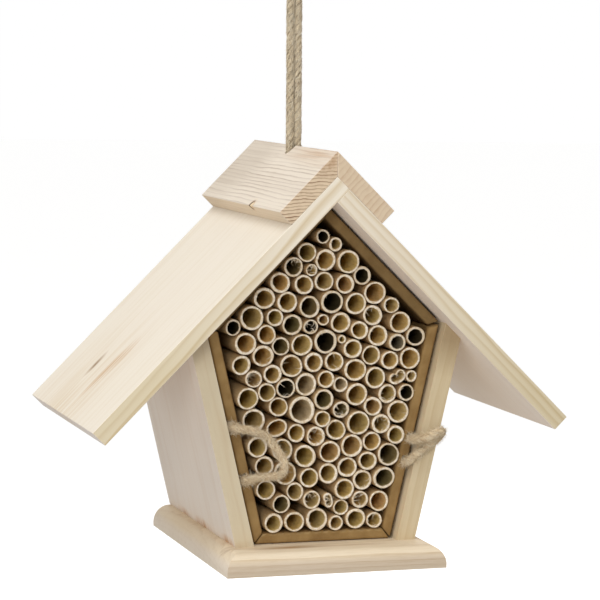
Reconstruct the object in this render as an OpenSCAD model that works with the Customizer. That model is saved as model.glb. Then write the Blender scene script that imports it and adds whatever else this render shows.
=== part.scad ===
// Insect hotel: a hanging wooden bee house with a slide-out cardboard tray of cut reeds.
// Millimetres. X to the right, Y to the back, Z up. The origin is under the middle of the base.

/* [House] */
// Height of the outer ridge line of the roof above the ground
ridge_h = 176; // [172:0.5:180]
// Depth of the house from the base's front edge to the back
house_d = 141; // [136:0.5:150]
// Depth of the roof and the ridge boards, from the back
roof_d = 135.5; // [130:0.5:140]
// Depth of the two walls, from the back
wall_d = 122; // [120:0.5:126]
// Length of the roof's slope from the ridge to the eave
slope_len = 156; // [140:1:165]
// Thickness of the roof boards and the ridge boards
roof_t = 8; // [7.5:0.5:8.5]
// Length of a ridge board down the slope
ridge_len = 29.7; // [24:0.1:40]

/* [Walls] */
// Distance between the walls at the floor
floor_w = 67; // [66:0.5:69]
// Angle by which each wall leans outward
lean = 13; // [12.5:0.1:13.5]
// Thickness of the walls
wall_t = 8.5; // [7:0.5:10]
// Thickness of the back board
back_t = 8; // [6:0.5:8]

/* [Base] */
// Width of the base board
base_w = 102; // [96:1:120]
// Thickness of the base board
base_t = 10; // [9.5:0.1:10.5]
// Distance of the base board from the back of the house
base_inset = 2.5; // [0:0.5:4]
// Radius of the rounded top edges of the base board
base_r = 8; // [4:0.5:8]

/* [Reed tray] */
// Thickness of the tray's folded double walls
rim = 4.8; // [4.4:0.1:5]
// Distance of the tray's rim behind the front edges of the walls
tray_inset = 4.7; // [3:0.1:6]
// Depth of the tray
tray_d = 103; // [102.5:0.1:103.2]
// Thickness of the tray's back card
tray_back_t = 3; // [2:0.5:4]
// Play between the tray and the walls
side_play = 1.5; // [1:0.1:2]
// Play between the tray and the roof
roof_play = 1; // [0.6:0.1:1.5]
// Play between the tray and the base board
floor_play = 0.3; // [0.2:0.1:0.5]

/* [Cord and twine] */
// Diameter of the hanging cord, which runs up double
cord_dia = 3.4; // [3:0.1:3.6]
// Diameter of the cord's hole in the ridge boards
cord_hole = 7.8; // [7.6:0.1:9]
// Distance of the cord behind the middle of the house
cord_y = 4; // [0:0.5:8]
// Diameter of the twine of the two pull loops
twine_dia = 3; // [2.6:0.1:3]

/* [Hidden] */
$fn = 48;

PINE = "burlywood";
PALE_PINE = "bisque";
CARD = "peru";
JUTE = "tan";
REED = "wheat";
STEEL = "silver";

back_y = house_d / 2;
roof_y = back_y - roof_d;
wall_y = back_y - wall_d;
base_y = -house_d / 2;
base_d = house_d - base_inset;
big = 400;

// The house's inner space: the roof's underside is where |x| + z = inner_sum, and a wall's
// inner face is where |x| * cos(lean) - (z - base_t) * sin(lean) = inner_reach.
inner_sum = ridge_h - roof_t * sqrt(2);
inner_reach = floor_w / 2 * cos(lean);

// The tray's outer and inner faces, in the same terms.
tray_y = wall_y + tray_inset;
tray_end = tray_y + tray_d;
tray_sum = inner_sum - roof_play * sqrt(2);
tray_reach = inner_reach - side_play;
tray_z = base_t + floor_play;
room_sum = tray_sum - rim * sqrt(2);
room_reach = tray_reach - rim;
room_z = tray_z + rim;

// A point [x, z] of a pentagon with these faces: where a side meets the floor or a slope.
function side_x(reach, z) = (reach + (z - base_t) * sin(lean)) / cos(lean);
function eave_z(reach, sum) = (sum * cos(lean) - reach + base_t * sin(lean)) / (cos(lean) + sin(lean));
function floor_corner(reach, z) = [side_x(reach, z), z];
function eave_corner(reach, sum) = [sum - eave_z(reach, sum), eave_z(reach, sum)];
function flip(points) = [for (p = points) [-p[0], p[1]]];

// Extrudes an outline in the XZ plane from the depth y0 to the depth y1.
module deep(y0, y1) {
    translate([0, y1, 0]) rotate([90, 0, 0]) linear_extrude(y1 - y0) children();
}

// Draws what is given on the right, or mirrors it to the left.
module side(left) {
    mirror([left ? 1 : 0, 0, 0]) children();
}

// ---------------------------------------------------------------- wooden house

// The base board seen from one side, with its low upper edge rounded above a small flat.
module rounded_at(low, high) {
    difference() {
        translate([low, 0]) square([high - low, base_t]);
        translate([low, base_t - base_r]) edge_waste();
    }
}

// What a router takes off a square corner to leave a round of radius base_r.
module edge_waste() {
    difference() {
        translate([-1, 0]) square([base_r + 1, base_r + 1]);
        translate([base_r, 0]) circle(base_r);
    }
}

module base_board() {
    color(PALE_PINE) difference() {
        intersection() {
            deep(base_y, base_y + base_d) intersection() {
                rounded_at(-base_w / 2, base_w / 2);
                mirror([1, 0]) rounded_at(-base_w / 2, base_w / 2);
            }
            rotate([90, 0, 90]) translate([0, 0, -base_w])
                linear_extrude(2 * base_w) rounded_at(base_y, base_y + base_d);
        }
        nail_places() nail_hole();
    }
}

module wall_outline() {
    outer_reach = inner_reach + wall_t;
    polygon([floor_corner(inner_reach, base_t), floor_corner(outer_reach, base_t),
             eave_corner(outer_reach, inner_sum), eave_corner(inner_reach, inner_sum)]);
}

module wall(left) {
    color(PINE) difference() {
        side(left) deep(wall_y, back_y) wall_outline();
        nail_places() nail_hole();
    }
}

module back_board() {
    right = [floor_corner(inner_reach, base_t), eave_corner(inner_reach, inner_sum)];
    color(PINE) difference() {
        deep(back_y - back_t, back_y)
            polygon([right[0], right[1], [0, inner_sum], flip(right)[1], flip(right)[0]]);
        nail_places() nail_hole();
    }
}

// A board of the given thickness on the right slope, from one distance below the ridge to
// another, on planes that lie above the roof's outer face by the amount above.
module slope_board(from, to, above, thick) {
    deep(roof_y, back_y) translate([0, ridge_h]) rotate(-45)
        translate([from, above]) square([to - from, thick]);
}

module knot_pocket() {
    translate([0, cord_y, inner_sum - big]) cylinder(d = pocket_dia, h = pocket_top - inner_sum + big);
}

// The left roof board laps over the upper end of the right one.
module left_roof_board() {
    color(PALE_PINE) difference() {
        side(true) slope_board(0, slope_len, -roof_t, roof_t);
        knot_pocket();
    }
}

module right_roof_board() {
    color(PALE_PINE) difference() {
        slope_board(roof_t, slope_len, -roof_t, roof_t);
        knot_pocket();
    }
}

// The two ridge boards are mitred together over the ridge.
module ridge_board(left) {
    color(PINE) difference() {
        side(left) intersection() {
            slope_board(-roof_t, ridge_len, 0, roof_t);
            translate([0, -big / 2, 0]) cube(big);
        }
        knot_pocket();
        translate([0, cord_y, 0]) cylinder(d = cord_hole, h = big);
    }
}

// Nails up through the base: two into each wall and two into the back board.
nail_len = 24;
nail_dia = 1.4;
nail_head_dia = 3;
nail_head_t = 1;
nail_sunk = 0.4;
nail_inset = 20;
// The nails stand upright, in the middle of a leaning wall a little way up.
nail_wall_x = side_x(inner_reach + wall_t / 2, base_t + 5);
nail_back_x = 18;
// The base board stops short of the back board's outer face, so these nails sit further in.
nail_back_y = back_y - max(back_t - 3, base_inset + nail_head_dia / 2);
nail_spots = [for (s = [-1, 1]) each [[s * nail_wall_x, wall_y + nail_inset],
                                      [s * nail_wall_x, back_y - nail_inset],
                                      [s * nail_back_x, nail_back_y]]];

module nail_places() {
    for (spot = nail_spots) translate([spot[0], spot[1], nail_sunk]) children();
}

module nail() {
    cylinder(d = nail_head_dia, h = nail_head_t);
    cylinder(d = nail_dia, h = nail_len);
}

// A nail's hole, with room for its head to sit below the surface.
module nail_hole() {
    cylinder(d = nail_dia, h = nail_len);
    translate([0, 0, -1]) cylinder(d = nail_head_dia, h = nail_head_t + 1);
}

module base_nails() {
    color(STEEL) nail_places() nail();
}

// ---------------------------------------------------------------- hanging cord

// The knot sits in a blind pocket that is bored up through the roof into the ridge boards.
pocket_dia = 13;
pocket_top = ridge_h + 2;
knot_r = 5.6;
knot_z = pocket_top - knot_r - 1;

// The right strand of the doubled cord, from the knot to the top of its loop: [x, z].
CORD_HALF = [[1.75, 173], [1.75, 180], [1.75, 188], [1.75, 196], [1.75, 204], [1.75, 212],
             [1.75, 220], [1.75, 228], [1.75, 236], [1.75, 244], [1.75, 252], [1.8, 259],
             [2.6, 265], [4.6, 271], [7.2, 277], [9.4, 283], [10, 289], [8.4, 294.5], [4.6, 298.3]];
CORD_TOP = [0, 299.4];
CORD_ROUTE = [for (p = CORD_HALF) [p[0], cord_y, p[1]],
              [CORD_TOP[0], cord_y, CORD_TOP[1]],
              for (i = [len(CORD_HALF) - 1 : -1 : 0]) [-CORD_HALF[i][0], cord_y, CORD_HALF[i][1]]];

function unit(v) = v / norm(v);
// The direction of the route at point i.
function along(route, i) =
    unit(route[min(i + 1, len(route) - 1)] - route[max(i - 1, 0)]);
// The first side of each ring, carried along the route without twisting.
function square_to(v, d) = unit(v - (v * d) * d);
function sides_of(route, i, before) =
    i == len(route) ? [] :
    let (now = square_to(before, along(route, i)))
    concat([now], sides_of(route, i + 1, now));
// The points of a tube of diameter d with n sides along the route.
function tube_points(route, d, n, start) =
    let (sides = sides_of(route, 0, start))
    [for (i = [0 : len(route) - 1])
        let (a = sides[i], b = cross(along(route, i), sides[i]))
        for (k = [0 : n - 1]) route[i] + d / 2 * (cos(360 * k / n) * a + sin(360 * k / n) * b)];
function tube_faces(rings, n) = concat(
    [[for (k = [n - 1 : -1 : 0]) k]],
    [[for (k = [0 : n - 1]) (rings - 1) * n + k]],
    [for (i = [0 : rings - 2], k = [0 : n - 1])
        [i * n + k, i * n + (k + 1) % n, (i + 1) * n + (k + 1) % n, (i + 1) * n + k]]);
tube_sides = 8;

// A cord of diameter d along a route; start is any direction across its first stretch.
module tube(route, d, start) {
    polyhedron(points = tube_points(route, d, tube_sides, start),
               faces = tube_faces(len(route), tube_sides), convexity = 10);
}

module hanging_cord() {
    color(JUTE) tube(CORD_ROUTE, cord_dia, [0, 1, 0]);
}

module cord_knot() {
    color(JUTE) translate([0, cord_y, knot_z]) sphere(knot_r);
}

// ---------------------------------------------------------------- cardboard tray

channel_w = twine_dia + 0.5;
channel_deep = twine_dia;
twine_sunk = 1.3;

// Heights at which the twine's two legs leave the tray, on the left and on the right.
LEFT_LEGS = [64, 39.5];
RIGHT_LEGS = [55.5, 45];

// A leg's place [x, z] in its channel on the right-hand side.
function leg_x(z) = side_x(tray_reach - twine_sunk, z);

module tray_floor() {
    outer = floor_corner(tray_reach, tray_z);
    inner = floor_corner(room_reach, room_z);
    color(CARD) deep(tray_y, tray_end) polygon([outer, inner, flip([inner])[0], flip([outer])[0]]);
}

// A folded side of the tray, with a channel in its outer face for each leg of the twine.
module tray_side(left, legs) {
    color(CARD) side(left) difference() {
        deep(tray_y, tray_end)
            polygon([floor_corner(tray_reach, tray_z), eave_corner(tray_reach, tray_sum),
                     eave_corner(room_reach, room_sum), floor_corner(room_reach, room_z)]);
        for (z = legs) translate([side_x(tray_reach, z), tray_y - 1, z]) rotate([0, lean, 0])
            translate([-channel_deep, 0, -channel_w / 2]) cube([2 * channel_deep, tray_d + 2, channel_w]);
    }
}

module tray_slope(left) {
    color(CARD) side(left) deep(tray_y, tray_end)
        polygon([eave_corner(tray_reach, tray_sum), [0, tray_sum],
                 [0, room_sum], eave_corner(room_reach, room_sum)]);
}

module tray_back() {
    right = [floor_corner(room_reach, room_z), eave_corner(room_reach, room_sum)];
    color(CARD) deep(tray_end - tray_back_t, tray_end)
        polygon([right[0], right[1], [0, room_sum], flip(right)[1], flip(right)[0]]);
}

// ---------------------------------------------------------------- pull loops

twine_knot_r = 2.4;
knot_clear = 0.4;
twine_end = tray_end + twine_knot_r + knot_clear;
leg_pitch = 9;

// The stretch of a leg in its channel, from behind the tray to its rim; s is 1 on the right.
function leg(s, z) = [for (k = [0 : floor(tray_d / leg_pitch)])
    [s * leg_x(z), twine_end - leg_pitch * k, z]];
function turned(points) = [for (i = [len(points) - 1 : -1 : 0]) points[i]];

// The free stretch of each loop in front of the tray.
LEFT_LOOP = [[-43, -51.5, 64], [-40.6, -54.8, 63.9], [-37, -56.2, 63.4], [-33.2, -56.4, 62.2],
             [-29.8, -56.2, 60.4], [-27.2, -56.2, 57.6], [-25, -57, 54.6], [-23.4, -58.8, 51.8],
             [-22.6, -60.4, 49], [-22.4, -60.6, 46.2], [-23, -59, 43.8], [-24.4, -56.2, 42.4],
             [-26.8, -53.8, 41.8], [-30, -52.4, 41.6], [-33.4, -51.9, 41], [-36.2, -50.6, 40],
             [-37.4, -47, 39.5]];
RIGHT_LOOP = [[41.2, -51.5, 55.8], [42, -55.8, 56.4], [43.6, -59.2, 57.4], [46, -61.4, 58.8],
              [48.6, -62.2, 60.2], [50.8, -61.4, 60.8], [52, -59.2, 60], [52, -56.8, 58.2],
              [50.8, -55.2, 56.2], [48.6, -54.4, 54.2], [46, -54, 52.2], [43.4, -53.6, 50.2],
              [40.8, -52.8, 48], [39.2, -51, 46], [38.7, -47.4, 45]];
LEFT_ROUTE = concat(leg(-1, LEFT_LEGS[0]), LEFT_LOOP, turned(leg(-1, LEFT_LEGS[1])));
RIGHT_ROUTE = concat(leg(1, RIGHT_LEGS[0]), RIGHT_LOOP, turned(leg(1, RIGHT_LEGS[1])));

module left_pull_loop() {
    color(JUTE) tube(LEFT_ROUTE, twine_dia, [0, 0, 1]);
}

module right_pull_loop() {
    color(JUTE) tube(RIGHT_ROUTE, twine_dia, [0, 0, 1]);
}

// A knot behind the tray on each end of the twines.
module pull_loop_knots() {
    color(JUTE) {
        for (z = LEFT_LEGS) translate([-leg_x(z), twine_end, z]) sphere(twine_knot_r);
        for (z = RIGHT_LEGS) translate([leg_x(z), twine_end, z]) sphere(twine_knot_r);
    }
}

// ---------------------------------------------------------------- reeds

// Where the reeds lie, from the floor up: [x, z, diameter] of each, in rows.
REED_ROWS = [
    [[-23.5, 19.5, 9], [-14, 20, 9.5], [-3, 20.5, 10.5], [5.5, 18.5, 7], [15.5, 20, 10],
     [24, 19, 7.5]],
    [[-20, 28.5, 8.5], [-13, 33.5, 8.5], [-5.5, 29.5, 8.5], [1.5, 29, 7], [8, 25, 7.5],
     [9.5, 34, 9.5], [17.5, 28.5, 8.5], [27, 27.5, 9.5]],
    [[-27.5, 35, 9], [-18, 42, 11], [-7, 39.5, 9], [2, 41.5, 9.5], [18.5, 37.5, 9.5],
     [28.5, 38, 10.5]],
    [[-28, 46, 9], [-9, 49.5, 10.5], [2.5, 51, 10], [11.5, 43.5, 9.5], [20.5, 46.5, 9],
     [30.5, 49.5, 10.5]],
    [[-31, 54, 9.5], [-20, 53.5, 10], [-13, 60, 8.5], [-4, 58.5, 9], [13, 53.5, 10.5],
     [23, 54.5, 9], [34.5, 58, 8.5]],
    [[-33, 66.5, 10.5], [-22, 62.5, 10], [-1, 66, 7.5], [5.5, 61, 9.5], [16, 63.5, 11],
     [28, 63, 9], [36, 68, 10.5]],
    [[-36, 76.5, 10], [-21.5, 72, 9], [-10.5, 70.5, 12.5], [-0.5, 75, 9.5], [8, 70, 8],
     [15.5, 76.5, 10.5], [23, 70.5, 9], [30.5, 76, 9], [39, 77, 8]],
    [[-33, 85, 8], [-27, 79, 8.5], [-18, 80.5, 9], [-8.5, 82, 10.5], [0, 84, 8],
     [7.5, 81.5, 7], [24, 84, 10], [34.5, 84.5, 8.5], [42, 84, 5.5]],
    [[-39, 91.5, 9], [-24.5, 87, 8.5], [-15.5, 90.5, 10.5], [-5.5, 92, 9], [4.5, 92, 9],
     [14.5, 88, 10.5], [30.5, 91.5, 8.5], [40.5, 92.5, 10]],
    [[-37, 101, 10], [-29, 95.5, 10], [-20.5, 99.5, 8.5], [-11, 100, 10], [0.5, 101, 11],
     [8, 102, 4], [13, 97.5, 9], [22.5, 94.5, 9], [34, 100, 8], [43, 102.5, 9]],
    [[-42.5, 108.5, 7.5], [-27.5, 105, 9], [-15, 109, 9.5], [-7, 108, 7], [-1, 111, 5.5],
     [7.5, 109.5, 9.5], [16, 106, 8.5], [25, 103, 9.5], [35.5, 109, 10]],
    [[-34.5, 112.5, 11], [-23, 112.5, 8], [-7.5, 117, 10], [14.5, 118, 10], [22.5, 112.5, 9.5],
     [31, 117, 7.5]],
    [[-28, 121.5, 10], [-18, 119.5, 9.5], [3, 119, 10.5], [23.5, 122.5, 10.5]],
    [[-21, 128, 9.5], [-10, 127, 9], [-0.5, 128.5, 9], [9, 127, 9], [17.5, 130.5, 8.5]],
    [[-15.5, 135, 9], [-6.5, 133.5, 5.5], [0, 138, 10], [10.5, 137, 10.5]],
    [[-9, 141.5, 9], [4.5, 144.5, 6.5], [-1.5, 148.5, 6.5]]];
ALL_REEDS = [for (row = REED_ROWS) each row];

reed_gap = 0.06;
settle_rounds = 12;
reed_proud = 1.2;
reed_uneven = 0.8;
uneven_turn = 137;
thinnest_wall = 0.4;
wall_share = 0.05;
widest_reed = 12.5;

// How far a reed of radius r at [x, z] would cut into the floor, a side or a slope.
function into_floor(x, z, r) = max(0, room_z + r + reed_gap - z);
function into_side(x, z, r) =
    max(0, abs(x) * cos(lean) - (z - base_t) * sin(lean) + r + reed_gap - room_reach);
function into_slope(x, z, r) = max(0, (abs(x) + z - room_sum) / sqrt(2) + r + reed_gap);
// The push [x, z] that the tray gives such a reed.
function tray_push(x, z, r) =
    [0, into_floor(x, z, r)]
    + into_side(x, z, r) * [-sign(x) * cos(lean), sin(lean)]
    + into_slope(x, z, r) * [-sign(x), -1] / sqrt(2);
// The push [x, z] that reed b gives reed a where the two overlap.
function reed_push(a, b) =
    let (away = [a[0] - b[0], a[1] - b[1]], over = (a[2] + b[2]) / 2 + reed_gap - norm(away))
    over > 0 ? unit(away) * over / 2 : [0, 0];
function total(pushes, i = 0) = i == len(pushes) ? [0, 0] : pushes[i] + total(pushes, i + 1);
function settled(reeds, rounds) = rounds == 0 ? reeds : settled(
    [for (i = [0 : len(reeds) - 1])
        let (a = reeds[i],
             near = [for (j = [0 : len(reeds) - 1])
                        if (j != i && abs(a[0] - reeds[j][0]) < widest_reed
                            && abs(a[1] - reeds[j][1]) < widest_reed)
                            reed_push(a, reeds[j])],
             push = total(near) + tray_push(a[0], a[1], a[2] / 2))
        [a[0] + push[0], a[1] + push[1], a[2]]],
    rounds - 1);
// The largest radius at which reed i clears the tray and its neighbours.
function clear_radius(reeds, i) =
    let (a = reeds[i], r = a[2] / 2)
    min(r,
        r - into_floor(a[0], a[1], r), r - into_side(a[0], a[1], r), r - into_slope(a[0], a[1], r),
        min([for (j = [0 : len(reeds) - 1]) if (j != i)
            norm([a[0] - reeds[j][0], a[1] - reeds[j][1]]) * a[2] / (a[2] + reeds[j][2])
            - reed_gap / 2]));
function reeds_before(k) = k == 0 ? 0 : len(REED_ROWS[k - 1]) + reeds_before(k - 1);

// A length of reed from its cut front end to the tray's back card.
module reed(x, z, r, proud) {
    front = tray_y - proud;
    wall = thinnest_wall + wall_share * 2 * r;
    translate([x, tray_end - tray_back_t, z]) rotate([90, 0, 0]) difference() {
        cylinder(r = r, h = tray_end - tray_back_t - front);
        translate([0, 0, -1]) cylinder(r = r - wall, h = tray_d + 2 * reed_proud);
    }
}

module reed_row(k) {
    reeds = settled(ALL_REEDS, settle_rounds);
    first = reeds_before(k);
    color(REED) for (i = [first : first + len(REED_ROWS[k]) - 1])
        reed(reeds[i][0], reeds[i][1], clear_radius(reeds, i),
             reed_proud + reed_uneven * sin(uneven_turn * i));
}

base_board();
wall(true);  // left_wall
wall(false);  // right_wall
back_board();
left_roof_board();
right_roof_board();
ridge_board(true);  // left_ridge_board
ridge_board(false);  // right_ridge_board
base_nails();
hanging_cord();
cord_knot();
tray_floor();
tray_side(true, LEFT_LEGS);  // tray_left_side
tray_side(false, RIGHT_LEGS);  // tray_right_side
tray_slope(true);  // tray_left_slope
tray_slope(false);  // tray_right_slope
tray_back();
left_pull_loop();
right_pull_loop();
pull_loop_knots();
reed_row(0);  // reeds_01
reed_row(1);  // reeds_02
reed_row(2);  // reeds_03
reed_row(3);  // reeds_04
reed_row(4);  // reeds_05
reed_row(5);  // reeds_06
reed_row(6);  // reeds_07
reed_row(7);  // reeds_08
reed_row(8);  // reeds_09
reed_row(9);  // reeds_10
reed_row(10);  // reeds_11
reed_row(11);  // reeds_12
reed_row(12);  // reeds_13
reed_row(13);  // reeds_14
reed_row(14);  // reeds_15
reed_row(15);  // reeds_16
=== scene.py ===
import math
import random

import bmesh
import bpy
import numpy as np
from mathutils import Matrix, Vector


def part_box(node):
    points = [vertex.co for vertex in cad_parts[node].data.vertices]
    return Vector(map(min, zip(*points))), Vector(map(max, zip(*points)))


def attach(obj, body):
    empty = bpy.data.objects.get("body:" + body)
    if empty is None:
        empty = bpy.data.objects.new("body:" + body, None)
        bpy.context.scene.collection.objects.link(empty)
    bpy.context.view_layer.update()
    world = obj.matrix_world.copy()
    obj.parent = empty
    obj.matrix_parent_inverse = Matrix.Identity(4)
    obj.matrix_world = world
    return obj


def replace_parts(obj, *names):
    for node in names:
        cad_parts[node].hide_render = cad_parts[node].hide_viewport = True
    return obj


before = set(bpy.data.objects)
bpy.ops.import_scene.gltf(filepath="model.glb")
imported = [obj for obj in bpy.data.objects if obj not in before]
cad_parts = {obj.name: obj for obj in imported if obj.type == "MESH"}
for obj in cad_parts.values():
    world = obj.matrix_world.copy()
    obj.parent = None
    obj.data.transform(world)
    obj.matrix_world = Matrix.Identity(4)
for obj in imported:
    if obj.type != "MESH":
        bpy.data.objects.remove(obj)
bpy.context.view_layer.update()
MM = 0.001


# ---- camera

# The place in metres, the turns in radians and the focal length in millimetres.
CAMERA_AT = (-0.36716, -1.23788, 0.23831)
CAMERA_YAW = 0.2901445
CAMERA_PITCH = -0.0948597
CAMERA_ROLL = 0.0067207
CAMERA_LENS = 167.46
SENSOR_WIDTH = 36


def make_camera():
    """Yaw turns from +Y towards +X, pitch lifts the view and roll tilts it."""
    forward = Vector((math.sin(CAMERA_YAW) * math.cos(CAMERA_PITCH),
                      math.cos(CAMERA_YAW) * math.cos(CAMERA_PITCH),
                      math.sin(CAMERA_PITCH)))
    level = Vector((math.cos(CAMERA_YAW), -math.sin(CAMERA_YAW), 0))
    above = level.cross(forward)
    right = math.cos(CAMERA_ROLL) * level + math.sin(CAMERA_ROLL) * above
    up = right.cross(forward)
    data = bpy.data.cameras.new("camera")
    data.lens = CAMERA_LENS
    data.sensor_width = SENSOR_WIDTH
    data.clip_start = 0.05
    data.clip_end = 60
    camera = bpy.data.objects.new("camera", data)
    bpy.context.scene.collection.objects.link(camera)
    turn = Matrix((right, up, -forward)).transposed().to_4x4()
    camera.matrix_world = Matrix.Translation(CAMERA_AT) @ turn
    bpy.context.scene.camera = camera


make_camera()


# ---- mesh and path helpers

class Shell:
    """Collects points and faces, with one value per point for each named attribute, or else 0."""

    def __init__(self, names=()):
        self.points = []
        self.faces = []
        self.values = {n: [] for n in names}

    def add(self, points, faces, **values):
        first = len(self.points)
        self.points.extend(points)
        self.faces.extend([tuple(first + i for i in f) for f in faces])
        for name, column in self.values.items():
            value = values.get(name, 0.0)
            if isinstance(value, (int, float)):
                column.extend([float(value)] * len(points))
            else:
                column.extend(value)

    def build(self, name, body, slot, material, smooth=True):
        mesh = bpy.data.meshes.new(name)
        mesh.from_pydata([tuple(p) for p in self.points], [], self.faces)
        mesh.validate()
        for attribute, column in self.values.items():
            data = mesh.attributes.new(attribute, "FLOAT", "POINT")
            data.data.foreach_set("value", np.array(column, np.float32))
        mesh.polygons.foreach_set("use_smooth", [smooth] * len(mesh.polygons))
        mesh.materials.append(material)
        obj = bpy.data.objects.new(name, mesh)
        bpy.context.scene.collection.objects.link(obj)
        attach(obj, body)
        return obj


def grid_faces(rings, around):
    """Faces of a closed tube of rings, each with that many points."""
    faces = [(i * around + k, i * around + (k + 1) % around,
              (i + 1) * around + (k + 1) % around, (i + 1) * around + k)
             for i in range(rings - 1) for k in range(around)]
    faces.append(tuple(range(around - 1, -1, -1)))
    faces.append(tuple((rings - 1) * around + k for k in range(around)))
    return faces


def smooth_path(points, step):
    """A Catmull-Rom line through the points, resampled at equal steps."""
    p = np.array(points, float)
    p = np.vstack([2 * p[0] - p[1], p, 2 * p[-1] - p[-2]])
    dense = []
    for i in range(1, len(p) - 2):
        for t in np.linspace(0, 1, 24, endpoint=False):
            a, b, c, d = p[i - 1], p[i], p[i + 1], p[i + 2]
            dense.append(0.5 * (2 * b + (c - a) * t + (2 * a - 5 * b + 4 * c - d) * t * t
                                + (3 * b - a - 3 * c + d) * t ** 3))
    dense.append(p[-2])
    dense = np.array(dense)
    run = np.concatenate([[0], np.cumsum(np.linalg.norm(np.diff(dense, axis=0), axis=1))])
    count = max(2, int(round(run[-1] / step)) + 1)
    at = np.linspace(0, run[-1], count)
    return np.stack([np.interp(at, run, dense[:, k]) for k in range(3)], axis=1)


def path_frames(path):
    """Direction and two sides at each point, carried along without twisting."""
    along = np.gradient(path, axis=0)
    along /= np.linalg.norm(along, axis=1)[:, None]
    side = np.cross(along[0], [0.31, 0.52, 0.79])
    sides = []
    for d in along:
        side = side - side.dot(d) * d
        side = side / np.linalg.norm(side)
        sides.append(side)
    sides = np.array(sides)
    return along, sides, np.cross(along, sides)


def twisted_cord(shell, path, diameter, plies, pitch, seed, around=30, full=1.0):
    """A cord of several plies twisted together, with the fibres' small bumps."""
    rng = random.Random(seed)
    waves = [(rng.uniform(0.25, 1.1), rng.randint(2, 9), rng.uniform(0, 6.28), rng.uniform(0.4, 1))
             for _ in range(7)]
    _, side, up = path_frames(path)
    run = np.concatenate([[0], np.cumsum(np.linalg.norm(np.diff(path, axis=0), axis=1))])
    ply = 1 / (1 + 1 / math.sin(math.pi / plies))
    off = 1 - ply
    points, turns, runs, lobes = [], [], [], []
    for i, at in enumerate(run):
        twist = 2 * math.pi * at / pitch + 0.5 * math.sin(at / (7 * MM) + seed)
        swell = math.sin(at / (3.1 * MM) + seed) + math.sin(at / (1.9 * MM) + 2 * seed)
        for k in range(around):
            local = 2 * math.pi * k / around
            near = (local + math.pi / plies) % (2 * math.pi / plies) - math.pi / plies
            lobe = off * math.cos(near) + math.sqrt(max(0, ply ** 2 - (off * math.sin(near)) ** 2))
            rough = sum(w * math.sin(n * local + f * at / MM + p) for f, n, p, w in waves)
            r = 0.5 * diameter * full * (0.63 + 0.395 * lobe + 0.016 * rough + 0.02 * swell)
            angle = local + twist
            points.append(path[i] + r * (math.cos(angle) * side[i] + math.sin(angle) * up[i]))
            turns.append(k / around)
            runs.append(at)
            lobes.append(lobe)
    shell.add(points, grid_faces(len(path), around), ply=lobes,
              turn_x=[math.cos(2 * math.pi * t) for t in turns],
              turn_y=[math.sin(2 * math.pi * t) for t in turns], run=runs)


def hair(shell, path, radius, **values):
    """A thin fibre that tapers to its tip."""
    path = np.array(path)
    _, side, up = path_frames(path)
    points = []
    n = len(path)
    for i in range(n):
        r = radius * (1 - 0.8 * i / (n - 1))
        for k in range(3):
            a = 2 * math.pi * k / 3
            points.append(path[i] + r * (math.cos(a) * side[i] + math.sin(a) * up[i]))
    shell.add(points, grid_faces(n, 3), **values)


def bent_line(p, way, reach, steps, turned):
    """A line of equal steps, whose direction is turned after each."""
    line = [p]
    for _ in range(steps):
        p = p + way * reach / steps
        way = turned(way)
        way /= np.linalg.norm(way)
        line.append(p)
    return line


def fuzz(shell, path, diameter, count, long, seed, start, end):
    """Loose fibres that stand off a cord."""
    rng = random.Random(seed)
    along, side, up = path_frames(path)
    for _ in range(count):
        i = int((start + (end - start) * rng.random()) * (len(path) - 1))
        a = rng.uniform(0, 2 * math.pi)
        out = math.cos(a) * side[i] + math.sin(a) * up[i]
        lean = rng.uniform(-1, 1) * along[i]
        swirl = rng.uniform(-1, 1) * np.cross(along[i], out)
        reach = long * rng.uniform(0.35, 1) ** 1.5
        p = path[i] + out * diameter * 0.42
        way = out * rng.uniform(0.4, 1) + lean + 0.5 * swirl
        way /= np.linalg.norm(way)
        bend = np.array([rng.uniform(-1, 1) for _ in range(3)]) * 0.5
        line = bent_line(p, way, reach, 5, lambda w: w + bend * rng.uniform(0.2, 1) - 0.12 * out)
        hair(shell, line, rng.uniform(0.055, 0.1) * MM, tone=rng.random())


def lint(shell, path, diameter, pitch, count, seed, start, end, tone=0.0):
    """Fibres that lie along a cord's plies and lift off here and there, no darker than tone."""
    rng = random.Random(seed)
    _, side, up = path_frames(path)
    step = float(np.linalg.norm(path[1] - path[0]))
    for _ in range(count):
        i = int((start + (end - start) * rng.random()) * (len(path) - 1))
        a = rng.uniform(0, 2 * math.pi)
        turn = 2 * math.pi / pitch * rng.uniform(-0.5, 1.6)
        reach = rng.uniform(2.5, 7) * MM
        lift = [rng.uniform(0.92, 1.04), rng.uniform(0.98, 1.1), rng.uniform(0.95, 1.22)]
        line = []
        for k in range(7):
            j = min(len(path) - 1, i + int(k / 6 * reach / step))
            b = a + turn * k / 6 * reach
            r = 0.5 * diameter * float(np.interp(k / 6, (0, 0.5, 1), lift))
            line.append(path[j] + r * (math.cos(b) * side[j] + math.sin(b) * up[j]))
        if np.linalg.norm(line[-1] - line[-2]) > step:
            hair(shell, line, rng.uniform(0.07, 0.15) * MM, tone=tone + (1 - tone) * rng.random())


# ---- material helpers

def colour(hex_code):
    """Linear red, green and blue of an sRGB colour."""
    parts = [int(hex_code[i:i + 2], 16) / 255 for i in (1, 3, 5)]
    return tuple(c / 12.92 if c <= 0.04045 else ((c + 0.055) / 1.055) ** 2.4 for c in parts) + (1.0,)


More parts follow.
